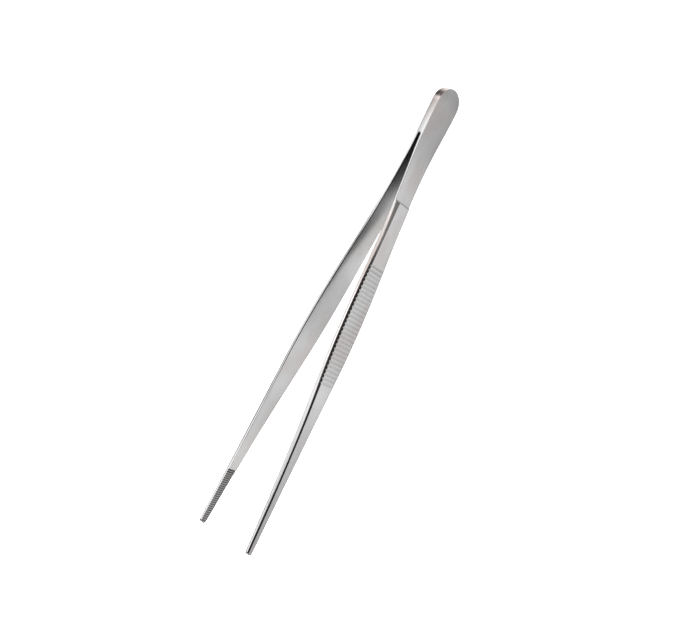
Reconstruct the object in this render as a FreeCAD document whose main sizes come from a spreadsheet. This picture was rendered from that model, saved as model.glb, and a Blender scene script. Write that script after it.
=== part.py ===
import FreeCAD, Part
import math
import os
import Sketcher

# Thumb forceps, lying on their side edges.
# X runs from the head to the jaws, Y from the left arm to the right arm, and Z is up.
# Two spring-steel arms, mirror images of each other, are welded face to face at the head.

SIZES = {
    "total_length": 200.0,
    # Head: both arms are flat here, and their inner faces are welded together
    "head_width": 13.9,
    "head_thickness": 1.65,
    "weld_length": 21.8,
    "crotch_radius": 0.72,
    "shoulder_station": 16.0,
    # Spring: the thin stretch that bends when the arms are squeezed
    "spring_thickness": 0.88,
    "root_station": 30.0,
    "root_offset": 0.95,
    "root_width": 11.6,
    "spring_station": 43.0,
    "spring_offset": 1.9,
    "spring_width": 10.5,
    # Step: where the raised back of the arm begins, at the top of a short ramp
    "step_station": 51.0,
    "step_offset": 2.85,
    "step_width": 10.1,
    "step_thickness": 2.4,
    "ramp_run": 1.8,
    # Width of the arm at the guide points from waist to tip
    "waist_station": 62.0,
    "waist_width": 9.7,
    "swell_station": 78.0,
    "swell_width": 11.4,
    "grip_station": 98.0,
    "grip_width": 12.7,
    "fall_station": 118.0,
    "fall_width": 12.0,
    "shank_station": 134.0,
    "shank_width": 9.3,
    "taper_station": 152.0,
    "taper_width": 6.8,
    "jaw_station": 176.0,
    "jaw_width": 4.3,
    "tip_width": 3.2,
    "tip_round": 1.2,
    "tip_edge": 0.41,
    # Spread of the arms: half the opening at the tips, and how far each arm bows outward
    "tip_offset": 13.55,
    "arm_bow": 0.93,
    # Thickness behind the step, over the raised back
    "back_thickness": 2.1,
    "jaw_thickness": 1.9,
    "tip_thickness": 1.65,
    # Height of the side walls, from the inner face to the shoulder
    "waist_wall": 0.25,
    "swell_wall": 0.75,
    "grip_wall": 0.9,
    "fall_wall": 0.95,
    "shank_wall": 0.5,
    "taper_wall": 0.75,
    "jaw_wall": 1.0,
    "tip_wall": 1.15,
    # How far the edge of the raised back lies inside the side wall
    "step_drop": 1.45,
    "back_drop": 1.2,
    "taper_drop": 0.95,
    "jaw_drop": 0.75,
    "tip_drop": 0.5,
    # Two sloping faces join each side wall to the back; their turn from the back, in degrees
    "shoulder_turn": 65.0,
    "bevel_turn": 38.0,
    # Broken edge between the inner face and each side wall
    "inner_break": 0.3,
    "shank_break": 0.15,
    "jaw_break": 0.1,
    # Grooves across the back of the grip
    "groove_count": 29,
    "groove_start": 78.1,
    "groove_pitch": 1.77,
    "groove_radius": 0.5,
    "groove_depth": 0.25,
    # Teeth across the inner face of the jaw
    "tooth_count": 26,
    "tooth_start": 175.95,
    "tooth_pitch": 0.92,
    "tooth_depth": 0.3,
}
MARGIN = 4.0            # how far the cutting outlines reach past the arm
NOTCH_HEIGHT = 1.5      # height of a notch's outline against the depth of the teeth
BREAK_TURN = 135.0      # of the broken edge from the back, in degrees
GUIDE_WEIGHT = 1.0      # alike for all guide points of a curve
NORMAL = FreeCAD.Vector(0, 0, 1)

# Guide points behind the step: station, width, thickness, side wall, drop and broken edge
BACK = [
    ("waist_station", "waist_width", "back_thickness", "waist_wall", "back_drop", "inner_break"),
    ("swell_station", "swell_width", "back_thickness", "swell_wall", "back_drop", "inner_break"),
    ("grip_station", "grip_width", "back_thickness", "grip_wall", "back_drop", "inner_break"),
    ("fall_station", "fall_width", "back_thickness", "fall_wall", "back_drop", "inner_break"),
    ("shank_station", "shank_width", "back_thickness", "shank_wall", "back_drop", "shank_break"),
    ("taper_station", "taper_width", "back_thickness", "taper_wall", "taper_drop", "jaw_break"),
    ("jaw_station", "jaw_width", "jaw_thickness", "jaw_wall", "jaw_drop", "jaw_break"),
]


def size_sheet(doc):
    """Spreadsheet with one named cell for each driving dimension."""
    sheet = doc.addObject("Spreadsheet::Sheet", "Sizes")
    for row, (name, number) in enumerate(SIZES.items(), start=1):
        sheet.set(f"A{row}", name)
        sheet.set(f"B{row}", str(number))
        sheet.setAlias(f"B{row}", name)
    doc.recompute()


def cell(name):
    return f"Sizes.{name}"


def half(width):
    return f"{cell(width)} / 2"


def inner(place):
    """Distance from the middle plane to the inner face at a place behind the step."""
    share = f"(({place} - {cell('step_station')}) / ({cell('total_length')} - {cell('step_station')}))"
    spread = f"({cell('tip_offset')} - {cell('step_offset')}) * {share}"
    bow = f"4 * {cell('arm_bow')} * {share} * (1 - {share})"
    return f"({cell('step_offset')} + {spread} + {bow})"


def crotch_end():
    """Station at which the round end of the crotch meets the inner face."""
    return f"({cell('weld_length')} + {cell('crotch_radius')})"


def ramp_start():
    return f"({cell('step_station')} - {cell('ramp_run')})"


def origin_plane(body, role):
    return next(plane for plane in body.Origin.OriginFeatures if plane.Role == role)


class Outline:
    """A sketch whose points are all held by sizes from the sheet."""

    def __init__(self, body, name, role):
        self.sketch = body.newObject("Sketcher::SketchObject", name)
        self.sketch.AttachmentSupport = [(origin_plane(body, role), "")]
        self.sketch.MapMode = "FlatFace"

    def turn(self, angle):
        """Turns the sketch about its X axis by a rule in degrees."""
        rotation = FreeCAD.Rotation(FreeCAD.Vector(1, 0, 0), self.value(angle))
        self.sketch.AttachmentOffset = FreeCAD.Placement(FreeCAD.Vector(), rotation)
        self.sketch.setExpression("AttachmentOffset.Rotation.Angle", f"{angle} * 1 deg")

    def value(self, rule):
        number = self.sketch.evalExpression(rule)
        return float(getattr(number, "Value", number))

    def bind(self, kind, *arguments, rule):
        """Adds a constraint whose value follows a rule."""
        index = self.sketch.addConstraint(Sketcher.Constraint(kind, *arguments, self.value(rule)))
        self.sketch.setExpression(f"Constraints[{index}]", rule)

    def hold(self, geometry, end, x, y):
        """Holds a point at a pair of rules; None is the outline's own axis."""
        if x is None:
            self.sketch.addConstraint(Sketcher.Constraint("PointOnObject", geometry, end, -2))
        else:
            self.bind("DistanceX", -1, 1, geometry, end, rule=x)
        if y is None:
            self.sketch.addConstraint(Sketcher.Constraint("PointOnObject", geometry, end, -1))
        else:
            self.bind("DistanceY", -1, 1, geometry, end, rule=y)

    def place(self, point):
        x, y = (0.0 if rule is None else self.value(rule) for rule in point)
        return FreeCAD.Vector(x, y, 0)

    def line(self, start, end):
        index = self.sketch.addGeometry(Part.LineSegment(self.place(start), self.place(end)))
        self.hold(index, 1, *start)
        self.hold(index, 2, *end)

    def polygon(self, points):
        for start, end in zip(points, points[1:]):
            self.line(start, end)

    def arc(self, centre_x, start, end):
        """Arc that runs from start to end about a centre on the outline's X axis."""
        middle, first, last = (self.place(point) for point in ((centre_x, None), start, end))
        circle = Part.Circle(middle, NORMAL, (first - middle).Length)
        angles = [math.atan2(p.y - middle.y, p.x - middle.x) for p in (first, last)]
        index = self.sketch.addGeometry(Part.ArcOfCircle(circle, *angles))
        self.hold(index, 1, *start)
        self.hold(index, 2, *end)
        self.bind("DistanceX", -1, 1, index, 3, rule=centre_x)

    def curve(self, points, highest_degree=3):
        """Smooth curve drawn by guide points."""
        poles = [self.place(point) for point in points]
        spline = Part.BSplineCurve()
        spline.buildFromPoles(poles, False, min(highest_degree, len(points) - 1))
        index = self.sketch.addGeometry(spline)
        knobs = []
        for number, pole in enumerate(poles):
            knob = self.sketch.addGeometry(Part.Circle(pole, NORMAL, GUIDE_WEIGHT), True)
            knobs.append(knob)
            if number == 0:
                self.sketch.addConstraint(Sketcher.Constraint("Weight", knob, GUIDE_WEIGHT))
            else:
                self.sketch.addConstraint(Sketcher.Constraint("Equal", knobs[0], knob))
            self.sketch.addConstraint(
                Sketcher.Constraint("InternalAlignment:Sketcher::BSplineControlPoint", knob, 3, index, number)
            )
            self.hold(knob, 3, *points[number])


def side_profile(body):
    """Side view of one arm: weld face, crotch, inner face, tip, raised back, ramp, spring and head."""
    outline = Outline(body, "SideProfile", "XY_Plane")
    past_head = f"-{MARGIN}"
    crotch = (crotch_end(), cell("crotch_radius"))
    past_tip = f"({cell('total_length')} + {cell('tip_round')})"
    round_start = f"({cell('total_length')} - {cell('tip_round')})"
    tip_back = f"{inner(round_start)} + {cell('tip_thickness')}"
    nose = (past_tip, f"{inner(past_tip)} + {cell('tip_edge')}")
    ramp_foot = (ramp_start(), f"{inner(ramp_start())} + {cell('spring_thickness')}")
    ramp_top = (cell("step_station"), f"{cell('step_offset')} + {cell('step_thickness')}")
    head_back = (cell("weld_length"), cell("head_thickness"))

    outline.line((past_head, None), (cell("weld_length"), None))
    outline.arc(crotch_end(), crotch, (cell("weld_length"), None))
    face = [
        crotch,
        (cell("root_station"), cell("root_offset")),
        (cell("spring_station"), cell("spring_offset")),
    ]
    face += [(cell(station), inner(cell(station))) for station, *_ in BACK]
    outline.curve(face + [(past_tip, inner(past_tip))])
    outline.line((past_tip, inner(past_tip)), nose)
    outline.curve([nose, (cell("total_length"), tip_back), (round_start, tip_back)])
    back = [
        (cell(station), f"{inner(cell(station))} + {cell(thickness)}")
        for station, _, thickness, *_ in BACK
    ]
    outline.curve([ramp_top] + back + [(round_start, tip_back)])
    outline.curve([ramp_foot, (ramp_top[0], ramp_foot[1]), ramp_top])
    outline.curve([
        head_back,
        (cell("root_station"), cell("head_thickness")),
        (cell("spring_station"), f"{cell('spring_offset')} + {cell('spring_thickness')}"),
        ramp_foot,
    ])
    outline.line(head_back, (past_head, cell("head_thickness")))
    outline.line((past_head, cell("head_thickness")), (past_head, None))
    return outline.sketch


def face_outline(body):
    """Face view of the arm, inside a frame: what lies between the two is cut away."""
    outline = Outline(body, "FaceOutline", "XZ_Plane")
    left, right = f"-2 * {MARGIN}", f"{cell('total_length')} + 2 * {MARGIN}"
    top = f"{half('head_width')} + {MARGIN}"
    corners = [(left, f"-({top})"), (right, f"-({top})"), (right, top), (left, top)]
    outline.polygon(corners + corners[:1])

    tip_x = f"{cell('total_length')} - {half('tip_width')}"
    guides = [
        (half("head_width"), half("head_width")),
        (cell("shoulder_station"), half("head_width")),
        (cell("root_station"), half("root_width")),
        (cell("spring_station"), half("spring_width")),
        (cell("step_station"), half("step_width")),
    ]
    guides += [(cell(station), half(width)) for station, width, *_ in BACK]
    guides.append((tip_x, half("tip_width")))
    below = [(x, f"-{z}") for x, z in guides]
    outline.curve(guides)
    outline.curve(below)
    outline.arc(guides[0][0], guides[0], below[0])
    outline.arc(tip_x, below[-1], guides[-1])
    return outline.sketch


def slope_outline(body, name, angle, places, beyond):
    """Region outside a sloping face, in a plane turned so that it looks along the face.

    Each place on the face is a station and a pair (y, z); beyond is a pair outside the arm."""
    outline = Outline(body, name, "XY_Plane")
    outline.turn(angle)

    def height(pair):
        y, z = pair
        return f"({y}) * cos({angle}) + ({z}) * sin({angle})"

    guides = [(station, height(pair)) for station, pair in places]
    (start, first), (end, last) = guides[0], guides[-1]
    outline.curve(guides)
    outline.polygon([(end, last), (end, height(beyond)), (start, height(beyond)), (start, first)])
    return outline.sketch


def past_tip_end():
    return f"{cell('total_length')} + {MARGIN}"


def outside():
    """A pair (y, z) outside the back and the side wall all along the arm."""
    return (
        f"{cell('tip_offset')} + {cell('step_thickness')} + {MARGIN}",
        f"{half('head_width')} + {MARGIN}",
    )


def shoulder_outline(body):
    """The flatter of the two sloping faces: it passes through the outer edge of the side wall."""
    places = [(ramp_start(), (f"{inner(ramp_start())} + {cell('spring_thickness')}", half("spring_width")))]
    places += [
        (cell(station), (f"{inner(cell(station))} + {cell(wall)}", half(width)))
        for station, width, _, wall, *_ in BACK
    ]
    tip = (f"{inner(cell('total_length'))} + {cell('tip_wall')}", half("tip_width"))
    places.append((past_tip_end(), tip))
    return slope_outline(body, "ShoulderOutline", cell("shoulder_turn"), places, outside())


def bevel_outline(body):
    """The steeper of the two sloping faces: it passes through the edge of the back."""

    def back_edge(station, width, thickness, drop):
        return f"{inner(station)} + {cell(thickness)}", f"{half(width)} - {cell(drop)}"

    places = [(ramp_start(), back_edge(ramp_start(), "step_width", "step_thickness", "step_drop"))]
    places += [
        (cell(station), back_edge(cell(station), width, thickness, drop))
        for station, width, thickness, _, drop, _ in BACK
    ]
    tip = back_edge(cell("total_length"), "tip_width", "tip_thickness", "tip_drop")
    places.append((past_tip_end(), tip))
    return slope_outline(body, "BevelOutline", cell("bevel_turn"), places, outside())


def break_outline(body):
    """Broken edge of the inner face, which fades in behind the crotch."""

    def broken(offset, width, edge):
        return offset, f"{half(width)} - {cell(edge)}"

    places = [
        (crotch_end(), (cell("crotch_radius"), half("head_width"))),
        (cell("root_station"), broken(cell("root_offset"), "root_width", "inner_break")),
        (cell("spring_station"), broken(cell("spring_offset"), "spring_width", "inner_break")),
    ]
    places += [
        (cell(station), broken(inner(cell(station)), width, edge))
        for station, width, *_, edge in BACK
    ]
    places.append((past_tip_end(), broken(inner(cell("total_length")), "tip_width", "jaw_break")))
    beyond = (f"-{MARGIN}", f"{half('head_width')} + {MARGIN}")
    return slope_outline(body, "BreakOutline", f"{BREAK_TURN}", places, beyond)


def groove_circles(body):
    """Side view of the grip grooves: a row of circles that dip into the back of the arm."""
    outline = Outline(body, "GrooveCircles", "XY_Plane")
    for number in range(int(SIZES["groove_count"])):
        x = f"{cell('groove_start')} + {number} * {cell('groove_pitch')}"
        back = f"{inner('(' + x + ')')} + {cell('back_thickness')}"
        y = f"{back} + {cell('groove_radius')} - {cell('groove_depth')}"
        circle = Part.Circle(outline.place((x, y)), NORMAL, SIZES["groove_radius"])
        index = outline.sketch.addGeometry(circle)
        outline.bind("Radius", index, rule=cell("groove_radius"))
        outline.hold(index, 3, x, y)
    return outline.sketch


def tooth_notch(body):
    """Side view of the first notch between the teeth of the jaw; its base runs along the inner face."""
    outline = Outline(body, "ToothNotch", "XY_Plane")
    start, end = cell("tooth_start"), cell("total_length")
    slope = f"(({inner(end)} - {inner(start)}) / ({end} - {start}))"
    root_y = f"{inner(start)} + {cell('tooth_depth')}"
    side = f"{NOTCH_HEIGHT} * {half('tooth_pitch')}"
    base_y = f"({root_y} - {NOTCH_HEIGHT} * {cell('tooth_depth')})"
    left = (f"{start} - {side}", f"{base_y} - {slope} * {side}")
    right = (f"{start} + {side}", f"{base_y} + {slope} * {side}")
    outline.polygon([left, right, (start, root_y), left])
    return outline.sketch


def pocket(body, sketch, name):
    """Cuts a sketch through the body, as far to one side of its plane as to the other."""
    before = body.Shape.Volume
    reach = f"{cell('tip_offset')} + {cell('tip_thickness')} + {cell('head_width')}"
    cut = body.newObject("PartDesign::Pocket", name)
    cut.Profile = sketch
    cut.SideType = "Symmetric"
    cut.setExpression("Length", f"2 * ({reach})")
    body.Document.recompute()
    if not body.Shape.Volume < before:
        raise ValueError(f"{name} cuts nothing")
    return cut


def pocket_both_edges(body, sketch, name):
    """Cuts a sketch along the upper edge of the arm, and its mirror image along the lower edge."""
    upper = pocket(body, sketch, f"Upper{name}")
    lower = body.newObject("PartDesign::Mirrored", f"Lower{name}")
    lower.Originals = [upper]
    lower.MirrorPlane = (origin_plane(body, "XY_Plane"), [""])
    body.Tip = lower
    body.Document.recompute()


def right_arm(doc):
    """One arm: a thick strip with the side profile, trimmed, bevelled, grooved and toothed."""
    body = doc.addObject("PartDesign::Body", "RightArm")
    body.Label = "right_arm"
    doc.recompute()
    strip = body.newObject("PartDesign::Pad", "Strip")
    strip.Profile = side_profile(body)
    strip.SideType = "Symmetric"
    strip.setExpression("Length", f"{cell('head_width')} + {MARGIN}")
    doc.recompute()
    pocket(body, face_outline(body), "FaceCut")
    pocket_both_edges(body, shoulder_outline(body), "Shoulder")
    pocket_both_edges(body, bevel_outline(body), "Bevel")
    pocket_both_edges(body, break_outline(body), "Break")
    pocket(body, groove_circles(body), "GripGrooves")
    notch_sketch = tooth_notch(body)
    notch = pocket(body, notch_sketch, "FirstNotch")
    teeth = body.newObject("PartDesign::LinearPattern", "JawTeeth")
    teeth.Originals = [notch]
    teeth.Direction = (notch_sketch, ["Edge1"])
    teeth.setExpression("Occurrences", cell("tooth_count"))
    teeth.setExpression("Length", f"({cell('tooth_count')} - 1) * {cell('tooth_pitch')}")
    body.Tip = teeth
    body.setExpression("Placement.Base.x", f"-{half('total_length')}")
    body.setExpression("Placement.Base.z", half("head_width"))
    doc.recompute()
    return body


def left_arm(doc, arm):
    """The other arm, the mirror image across the weld."""
    other = doc.addObject("Part::Mirroring", "LeftArm")
    other.Label = "left_arm"
    other.Source = arm
    other.Normal = FreeCAD.Vector(0, 1, 0)
    doc.recompute()
    return other


def check(doc, parts):
    """Stops if an object failed or a sub-part has no sound solid."""
    for obj in doc.Objects:
        if "Invalid" in obj.State or "Error" in obj.State:
            raise ValueError(f"{obj.Label} failed: {obj.State}")
    for part in parts:
        if part.Shape.isNull() or not part.Shape.isValid() or len(part.Shape.Solids) != 1:
            raise ValueError(f"{part.Label} is not one sound solid")


def main():
    doc = FreeCAD.newDocument("ThumbForceps")
    size_sheet(doc)
    arm = right_arm(doc)
    parts = [arm, left_arm(doc, arm)]
    check(doc, parts)
    os.makedirs("parts", exist_ok=True)
    for part in parts:
        part.Shape.exportStep(f"parts/{part.Label}.step")
        print(part.Label, part.Shape.BoundBox)


main()
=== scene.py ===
import math

import bpy
from mathutils import Matrix, Vector


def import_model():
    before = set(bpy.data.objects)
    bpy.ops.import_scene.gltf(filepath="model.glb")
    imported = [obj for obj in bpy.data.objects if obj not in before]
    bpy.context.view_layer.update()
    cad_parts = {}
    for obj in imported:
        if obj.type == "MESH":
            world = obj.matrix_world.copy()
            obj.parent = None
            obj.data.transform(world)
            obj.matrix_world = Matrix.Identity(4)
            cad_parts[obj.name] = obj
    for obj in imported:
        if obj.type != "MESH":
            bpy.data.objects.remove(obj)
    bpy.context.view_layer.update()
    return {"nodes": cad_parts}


# Thumb forceps lying on their side edges on a white table, lit by soft boxes.
# X runs from the head to the jaws, Y from the left arm to the right arm, Z is up.
# Metres, apart from the stretches and grains of the steel, which are in millimetres.

MM = 0.001

# Camera, as fitted to the photograph
CAMERA_TARGET = Vector((1.984, 4.756, 7.119)) * MM
CAMERA_DISTANCE = 458.3 * MM
CAMERA_HEIGHT_ANGLE = math.radians(51.01)     # above the table
CAMERA_SIDE_ANGLE = math.radians(1.715)       # towards the jaws
CAMERA_ROLL = math.radians(0.626)
PICTURE_TURN = math.radians(26.36083)         # of the arms against the picture's upright
CAMERA_NEAR = 0.01
CAMERA_FAR = 20.0
LENS = 60.57
SENSOR = 36.0

# Light and table
WHITE = (1.0, 1.0, 1.0)
WARM = (1.0, 0.87, 0.82)
TABLE_COLOUR = (0.90, 0.90, 0.90, 1.0)
TABLE_ROUGHNESS = 0.9
TABLE_GLOW = 0.90
TABLE_SIZE = 6.0
ROOM_COLOUR = (0.19, 0.17, 0.17, 1.0)

# Soft boxes: name, where it stands, how wide and high it is, watts, colour; all face the object
LAMPS = [
    ("back_box", (0.20, -0.95, 1.10), (2.2, 1.0), 19.0, WHITE),
    ("top_box", (0.45, 0.20, 1.40), (1.3, 1.4), 15.4, WHITE),
    ("warm_box", (-0.60, 0.20, 1.40), (0.8, 1.4), 8.4, WARM),
]

# Colours of the steel
SATIN = (0.352, 0.361, 0.364, 1.0)
SATIN_WARM = (0.330, 0.322, 0.319, 1.0)
SATIN_DULL = (0.290, 0.293, 0.296, 1.0)
POLISHED = (0.310, 0.310, 0.310, 1.0)
# The polish towards the round end, darker and warmer: a painted warm reflection
POLISHED_WARM_REFLECTION = (0.205, 0.182, 0.172, 1.0)

# Noises of the steel: size in mm along X, Y and Z
GRAIN = (4.0, 0.10, 0.10)
STREAKS = (14.0, 0.8, 0.8)
PATCHES = (16.0, 9.0, 7.0)
GRAIN_DETAIL = 3.0

# Bump of the grain
GRAIN_DEPTH = 0.01 * MM
GRAIN_STRENGTH = 0.25

# Between which values a noise acts, and what it changes from and to
WARM_NOISE = (0.40, 0.68)                     # of the patches
DULL_NOISE = (0.35, 0.75)                     # of the streaks
DULL_SHARE = (0.0, 0.25)
ROUGH_NOISE = (0.3, 0.7)                      # of the grain and the streaks
SATIN_ROUGH = (0.32, 0.44)
POLISHED_ROUGH = (0.10, 0.17)

# Roughness that is added
ROUND_END_ROUGH = 0.22
BLURRED_ROUGH = 0.36
TOOTHED_ROUGH = 0.12

# Which way a face looks, as the size of its normal's part along X, Y or Z: a mask comes in between the two
END_FACING = (0.9, 0.97)
STEP_FACING = (0.3, 0.5)
BROAD_FACING = (0.6, 0.7)
OUTWARD_FACING = (0.2, 0.3)
SHINY_FACING = (0.3, 0.5)
UPPER_FACING = (0.5, 0.6)
LOW_FACING = (0.2, 0.4)
WALL_FACING = (0.75, 0.85)

# The same for slanting faces, which lie between the two
BEVEL_FACING = (0.50, 0.80)
BROKEN_FACING = (0.55, 0.85)
FACING_SOFT = 0.05

# How far the shading looks for a corner
HOLLOW_REACH = 0.6 * MM
HOLLOW_SAMPLES = 8
EDGE_REACH = (0.45 * MM, 0.95 * MM)           # at the two ends of GRIP
EDGE_SAMPLES = 8
ROUNDING = (0.08 * MM, 0.25 * MM)             # of the broad faces, and of the side walls
ROUNDING_SAMPLES = 6

# How open a place is, from nought to one: grooves and notches are less open and get painted shade
OPEN = (0.72, 0.98)
OPEN_BRIGHTNESS = (0.66, 1.0)
SUNK = (0.75, 0.95)

# Where the normal turns left or down at an edge, and where it turns up at the top of a back
EDGE_TURN = (-0.25, -0.03)
EDGE_SHARE = (0.50, 0.80)                     # of the left edges' darkness, at the two ends of GRIP
BACK_TURN = (0.10, 0.28)

# How much more upright the normal is near an edge than on the bevel itself
BY_BACK = (-0.10, 0.0)
BY_WALL = (-0.02, 0.08)
BY_SHOULDER = (0.0, 0.02)

# Stretches of X in mm, from the head to the jaws, in which a part of the finish or of its painted shade and
# highlights comes or goes
ROUND_END_DULL = (-98.0, -90.0)
ROUND_END_WARM_REFLECTION = (-96.0, -80.0)
ROUND_END_HIGHLIGHT = (-95.5, -91.5)
WELD_END = (-78.5, -77.0)
SPRING = (-78.0, -54.0)
CROTCH = (-58.0, -48.0)
STEP = (-51.0, -48.9)
SHANK_BLUR_END = (-32.0, -16.0)
GRIP = (-30.0, 30.0)
LOWER_EDGE_START = (-28.0, -14.0)
FIRST_GROOVES = (-22.6, -19.2)
INNER_SHADE_START = (-20.0, 0.0)
INNER_MIDDLE = (-14.0, 12.0)
BACK_SHADE_END = (22.0, 34.0)
BEVEL_LIGHT_END = (24.0, 44.0)
BACK_TAPER = (28.0, 52.0)
BEVEL_TAPER = (30.0, 50.0)
INNER_TAPER = (40.0, 60.0)
BACK_JAW = (40.0, 99.0)
TEETH_START = (75.3, 75.6)
FIRST_NOTCHES_END = (77.0, 77.6)

# How soft the two ends of such a stretch are where something comes and goes again, in mm
INNER_SOFT = 6.0
GROOVES_SOFT = 0.2
STEP_SOFT = 0.05

# The shadow high on the inner faces, in mm: where it comes and goes, and how its lower edge rises
SHADOW_START = (-56.0, -32.0)
SHADOW_END = (-12.0, 14.0)
SHADOW_RISE = (-70.0, 4.0)
SHADOW_HEIGHT = (4.0, 13.0)
SHADOW_SOFT = 2.0

# Across the head's side wall, in mm, from the left arm's half to the right arm's
HEAD_SEAM = (-1.6, 1.4)

# Notches of the jaws, in mm
NOTCH_START = 75.95
NOTCH_PITCH = 0.92


def camera():
    towards = Vector((
        math.sin(CAMERA_SIDE_ANGLE),
        math.cos(CAMERA_SIDE_ANGLE) * math.cos(CAMERA_HEIGHT_ANGLE),
        math.cos(CAMERA_SIDE_ANGLE) * math.sin(CAMERA_HEIGHT_ANGLE),
    ))
    ahead = -towards
    along = (Vector((1.0, 0.0, 0.0)) - ahead * ahead.x).normalized()
    across = along.cross(ahead)
    turn = PICTURE_TURN + CAMERA_ROLL
    right = across * math.cos(turn) - along * math.sin(turn)
    down = along * math.cos(turn) + across * math.sin(turn)
    data = bpy.data.cameras.new("camera")
    data.lens = LENS
    data.sensor_width = SENSOR
    data.clip_start = CAMERA_NEAR
    data.clip_end = CAMERA_FAR
    made = bpy.data.objects.new("camera", data)
    bpy.context.scene.collection.objects.link(made)
    turned = Matrix((right, -down, towards)).transposed().to_4x4()
    made.matrix_world = Matrix.Translation(CAMERA_TARGET + towards * CAMERA_DISTANCE) @ turned
    bpy.context.scene.camera = made


def lamp(name, place, size, watts, colour):
    data = bpy.data.lights.new(name, "AREA")
    data.shape = "RECTANGLE"
    data.size, data.size_y = size
    data.energy = watts
    data.color = colour
    made = bpy.data.objects.new(name, data)
    made.location = place
    made.rotation_euler = (-Vector(place)).to_track_quat("-Z", "Y").to_euler()
    bpy.context.scene.collection.objects.link(made)


def room():
    world = bpy.data.worlds.new("room")
    world.use_nodes = True
    world.node_tree.nodes["Background"].inputs["Color"].default_value = ROOM_COLOUR
    bpy.context.scene.world = world
    bpy.context.scene.view_settings.view_transform = "Standard"


def table():
    bpy.ops.mesh.primitive_plane_add(size=TABLE_SIZE)
    made = bpy.context.object
    made.name = "table"
    look = bpy.data.materials.new("table")
    look.use_nodes = True
    shader = look.node_tree.nodes["Principled BSDF"]
    shader.inputs["Base Color"].default_value = TABLE_COLOUR
    shader.inputs["Roughness"].default_value = TABLE_ROUGHNESS
    shader.inputs["Emission Color"].default_value = WHITE + (1.0,)
    shader.inputs["Emission Strength"].default_value = TABLE_GLOW
    made.data.materials.append(look)


class Nodes:
    """Short calls for a material's node tree. A mask is a socket that runs from nought to one."""

    # First input, second input and output of a mix node for each kind of data
    MIX_SOCKETS = {"FLOAT": (2, 3, 0), "VECTOR": (4, 5, 1), "RGBA": (6, 7, 2)}

    def __init__(self, name):
        self.material = bpy.data.materials.new(name)
        self.material.use_nodes = True
        self.tree = self.material.node_tree
        self.shader = self.tree.nodes["Principled BSDF"]

    def add(self, kind, **settings):
        node = self.tree.nodes.new(kind)
        for key, value in settings.items():
            setattr(node, key, value)
        return node

    def plug(self, socket, source):
        if isinstance(source, bpy.types.NodeSocket):
            self.tree.links.new(source, socket)
        else:
            socket.default_value = source

    def math(self, operation, *values):
        node = self.add("ShaderNodeMath", operation=operation)
        for socket, value in zip(node.inputs, values):
            self.plug(socket, value)
        return node.outputs[0]

    def product(self, first, *others):
        for other in others:
            first = self.math("MULTIPLY", first, other)
        return first

    def opposite(self, mask):
        return self.math("SUBTRACT", 1.0, mask)

    def ramp(self, value, low, high, to_low=0.0, to_high=1.0):
        """Smooth change from to_low to to_high as value goes from low to high."""
        node = self.add("ShaderNodeMapRange", interpolation_type="SMOOTHSTEP")
        for socket, given in zip(node.inputs, (value, low, high, to_low, to_high)):
            self.plug(socket, given)
        return node.outputs[0]

    def until(self, value, low, high):
        """One below low, nought above high."""
        return self.ramp(value, low, high, 1.0, 0.0)

    def band(self, value, start, end, soft):
        """One between start and end, nought elsewhere."""
        return self.product(
            self.ramp(value, start - soft, start + soft),
            self.until(value, end - soft, end + soft),
        )

    def mix(self, share, first, second, kind="RGBA"):
        node = self.add("ShaderNodeMix", data_type=kind)
        first_input, second_input, output = self.MIX_SOCKETS[kind]
        self.plug(node.inputs["Factor"], share)
        self.plug(node.inputs[first_input], first)
        self.plug(node.inputs[second_input], second)
        return node.outputs[output]

    def scaled(self, vector, factor):
        node = self.add("ShaderNodeVectorMath", operation="SCALE")
        self.plug(node.inputs[0], vector)
        self.plug(node.inputs["Scale"], factor)
        return node.outputs["Vector"]

    def parts(self, vector):
        """The three parts of a vector."""
        node = self.add("ShaderNodeSeparateXYZ")
        self.plug(node.inputs[0], vector)
        return list(node.outputs)

    def noise(self, place, stretch, detail=2.0):
        """Noise whose grains have the size given along each axis."""
        mapping = self.add("ShaderNodeMapping")
        self.plug(mapping.inputs["Vector"], place)
        self.plug(mapping.inputs["Scale"], [1.0 / size for size in stretch])
        node = self.add("ShaderNodeTexNoise")
        self.plug(node.inputs["Vector"], mapping.outputs[0])
        self.plug(node.inputs["Scale"], 1.0)
        self.plug(node.inputs["Detail"], detail)
        return node.outputs["Fac"]

    def turned_to_edge(self, radius, samples):
        """The normal as it turns towards an edge nearer than the radius."""
        node = self.add("ShaderNodeBevel", samples=samples)
        self.plug(node.inputs["Radius"], radius)
        return node.outputs[0]


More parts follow.
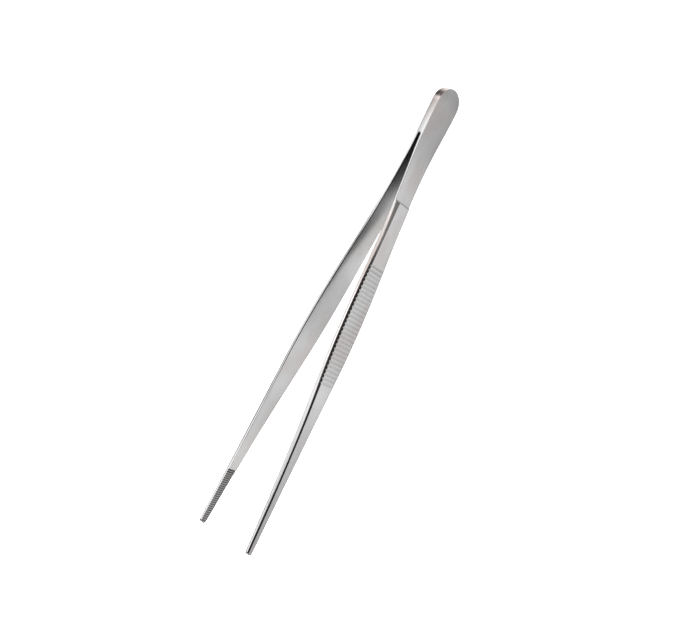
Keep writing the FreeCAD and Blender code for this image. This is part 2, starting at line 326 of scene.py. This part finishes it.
class Steel(Nodes):
    """Stainless steel: satin on broad faces, polished on side walls and bevels, rougher and darker between
    the teeth, with painted shade and highlights in its colour.
    """

    def __init__(self):
        super().__init__("stainless_steel_with_painted_light")
        coordinates = self.add("ShaderNodeTexCoord")
        self.place = self.scaled(coordinates.outputs["Object"], 1.0 / MM)
        self.along, self.aside, self.above = self.parts(self.place)
        self.faces(coordinates.outputs["Normal"])
        self.edges()
        self.grain = self.noise(self.place, GRAIN, GRAIN_DETAIL)
        self.streaks = self.noise(self.place, STREAKS)
        self.plug(self.shader.inputs["Base Color"], self.scaled(self.colour(), self.brightness()))
        self.plug(self.shader.inputs["Roughness"], self.roughness())
        self.plug(self.shader.inputs["Normal"], self.surface())
        self.plug(self.shader.inputs["Metallic"], 1.0)

    def faces(self, facing):
        """Masks that say on which face of an arm a point lies. Inward faces look at the other arm."""
        turned = self.parts(facing)
        self.facing_x, facing_y, self.facing_z = (self.math("ABSOLUTE", part) for part in turned)
        away = self.product(self.math("SIGN", self.aside), turned[1])
        self.outward = self.ramp(away, *OUTWARD_FACING)
        self.inward = self.ramp(self.math("MULTIPLY", away, -1.0), *OUTWARD_FACING)
        self.flat = self.ramp(facing_y, *BROAD_FACING)
        shiny_side = self.ramp(self.facing_z, *SHINY_FACING)
        shiny_end = self.ramp(self.facing_x, *END_FACING)
        self.polished = self.math("MAXIMUM", shiny_side, shiny_end)
        self.bevel = self.product(self.outward, self.band(self.facing_z, *BEVEL_FACING, FACING_SOFT))
        self.blurred = self.product(self.bevel, self.until(self.along, *SHANK_BLUR_END))
        self.toothed = self.product(self.inward, self.flat, self.ramp(self.along, *TEETH_START))
        self.welded = self.until(self.along, *WELD_END)

    def edges(self):
        """How the normal turns near an edge, save at the weld, whose hidden faces would count as edges."""
        radius = self.product(self.opposite(self.welded), self.ramp(self.along, *GRIP, *EDGE_REACH))
        self.soft = self.turned_to_edge(radius, EDGE_SAMPLES)
        _, self.soft_y, self.soft_z = self.parts(self.soft)
        self.rising = self.math("SUBTRACT", self.math("ABSOLUTE", self.soft_z), self.facing_z)
        hollow = self.add("ShaderNodeAmbientOcclusion", samples=HOLLOW_SAMPLES)
        self.plug(hollow.inputs["Distance"], HOLLOW_REACH)
        self.open = hollow.outputs["AO"]

    def colour(self):
        """Satin with warm patches and dull streaks, polished with a painted warm reflection, darker, towards
        the round end.
        """
        patches = self.noise(self.place, PATCHES)
        satin = self.mix(self.ramp(patches, *WARM_NOISE), SATIN, SATIN_WARM)
        satin = self.mix(self.ramp(self.streaks, *DULL_NOISE, *DULL_SHARE), satin, SATIN_DULL)
        shine = self.mix(self.until(self.along, *ROUND_END_WARM_REFLECTION), POLISHED, POLISHED_WARM_REFLECTION)
        return self.mix(self.polished, satin, shine)

    def brightness(self):
        """What the painted shades and highlights leave of the colour, from painted shade in hollows on. A
        shade is a mask and the share that it adds or takes away.
        """
        left = self.ramp(self.open, *OPEN, *OPEN_BRIGHTNESS)
        shades = self.edge_shades() + self.head_shades() + self.inner_shades()
        shades += self.outer_shades() + self.bevel_shades() + self.tooth_shades()
        for mask, share in shades:
            left = self.product(left, self.math("MULTIPLY_ADD", mask, share, 1.0))
        return left

    def edge_shades(self):
        """Painted shade along the left edges of the side walls and along the lower edges of the broad faces.
        """
        left_edge = self.product(self.ramp(self.facing_z, *UPPER_FACING), self.until(self.soft_y, *EDGE_TURN))
        lower_edge = self.product(self.until(self.facing_z, *LOW_FACING), self.until(self.soft_z, *EDGE_TURN))
        return [
            (self.product(left_edge, self.ramp(self.along, *GRIP, *EDGE_SHARE)), -1.0),
            (self.product(lower_edge, self.ramp(self.along, *LOWER_EDGE_START)), -0.55),
        ]

    def head_shades(self):
        """Painted shade on the left arm's half of the side wall and on the springs, a painted highlight at
        the round end.
        """
        left_half = self.until(self.aside, *HEAD_SEAM)
        return [
            (self.product(self.polished, self.welded, left_half), -0.40),
            (self.product(self.polished, self.until(self.along, *ROUND_END_HIGHLIGHT)), 1.2),
            (self.product(self.outward, self.until(self.along, *SPRING)), -0.28),
        ]

    def inner_shades(self):
        """Painted shade on the inner faces: the painted shadow high up, their broken edges, and slow changes
        along them.
        """
        lower_edge = self.ramp(self.along, *SHADOW_RISE, *SHADOW_HEIGHT)
        shadow = self.product(
            self.inward,
            self.ramp(self.math("SUBTRACT", self.above, lower_edge), -SHADOW_SOFT, SHADOW_SOFT),
            self.ramp(self.along, *SHADOW_START),
            self.until(self.along, *SHADOW_END),
        )
        broken_edge = self.product(self.inward, self.band(self.facing_z, *BROKEN_FACING, FACING_SOFT))
        return [
            (shadow, -0.60),
            (broken_edge, -0.50),
            (self.product(self.inward, self.until(self.along, *CROTCH)), -0.40),
            (self.product(self.inward, self.band(self.along, *INNER_MIDDLE, INNER_SOFT)), -0.12),
            (self.product(self.inward, self.band(self.along, *INNER_TAPER, INNER_SOFT)), -0.10),
            (self.product(self.inward, self.ramp(self.along, *INNER_SHADE_START)), -0.07),
        ]

    def outer_shades(self):
        """Painted shade along the backs, in the first grooves, along the upper edge and on the step."""
        sunk = self.until(self.open, *SUNK)
        upper_edge = self.product(self.outward, self.flat, self.ramp(self.soft_z, *BACK_TURN))
        steep = self.ramp(self.facing_x, *STEP_FACING)
        step = self.product(self.outward, steep, self.band(self.along, *STEP, STEP_SOFT))
        return [
            (self.product(self.outward, self.until(self.along, *BACK_SHADE_END)), -0.12),
            (self.product(self.outward, self.ramp(self.along, *BACK_TAPER)), -0.20),
            (self.product(self.outward, self.ramp(self.along, *BACK_JAW)), -0.32),
            (self.product(self.outward, sunk, self.band(self.along, *FIRST_GROOVES, GROOVES_SOFT)), -0.50),
            (upper_edge, -0.55),
            (step, -0.40),
        ]

    def bevel_shades(self):
        """Painted highlights towards the side wall and on the shank's bevel, painted shade towards the back
        and on the jaws.
        """
        by_wall = self.product(self.bevel, self.ramp(self.rising, *BY_WALL))
        return [
            (self.product(by_wall, self.until(self.along, *BEVEL_LIGHT_END)), 1.4),
            (self.product(self.blurred, self.ramp(self.rising, *BY_BACK)), 0.9),
            (self.product(self.bevel, self.ramp(self.along, *BEVEL_TAPER)), -0.30),
            (self.product(self.bevel, self.until(self.rising, *BY_BACK)), -0.25),
        ]

    def tooth_shades(self):
        """Darker over the teeth, with painted shade in the notches between them, darkest in the first two."""
        turns = self.math("MULTIPLY", self.math("SUBTRACT", self.along, NOTCH_START), math.tau / NOTCH_PITCH)
        notch = self.product(self.toothed, self.math("MULTIPLY_ADD", self.math("COSINE", turns), 0.5, 0.5))
        return [
            (self.toothed, -0.34),
            (notch, -0.64),
            (self.product(notch, self.until(self.along, *FIRST_NOTCHES_END)), -0.70),
        ]

    def roughness(self):
        """Low on polished faces, and raised at the round end, on the shank's bevel and on the teeth."""
        satin = self.ramp(self.grain, *ROUGH_NOISE, *SATIN_ROUGH)
        shine = self.ramp(self.streaks, *ROUGH_NOISE, *POLISHED_ROUGH)
        rough = self.mix(self.polished, satin, shine, "FLOAT")
        rough = self.math("MULTIPLY_ADD", self.until(self.along, *ROUND_END_DULL), ROUND_END_ROUGH, rough)
        rough = self.math("MULTIPLY_ADD", self.blurred, BLURRED_ROUGH, rough)
        return self.math("MULTIPLY_ADD", self.toothed, TOOTHED_ROUGH, rough)

    def surface(self):
        """The normal, with edges rounded and grain on the satin faces."""
        radius = self.product(self.ramp(self.facing_z, *WALL_FACING, *ROUNDING), self.opposite(self.welded))
        rounded = self.turned_to_edge(radius, ROUNDING_SAMPLES)
        by_shoulder = self.product(self.bevel, self.ramp(self.rising, *BY_SHOULDER))
        normal = self.mix(by_shoulder, rounded, self.soft, "VECTOR")
        bump = self.add("ShaderNodeBump")
        self.plug(bump.inputs["Strength"], GRAIN_STRENGTH)
        self.plug(bump.inputs["Distance"], GRAIN_DEPTH)
        self.plug(bump.inputs["Height"], self.product(self.grain, self.opposite(self.polished)))
        self.plug(bump.inputs["Normal"], normal)
        return bump.outputs[0]


def main():
    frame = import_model()
    camera()
    room()
    for row in LAMPS:
        lamp(*row)
    table()
    look = Steel().material
    for node in frame["nodes"].values():
        node.data.materials.clear()
        node.data.materials.append(look)


main()
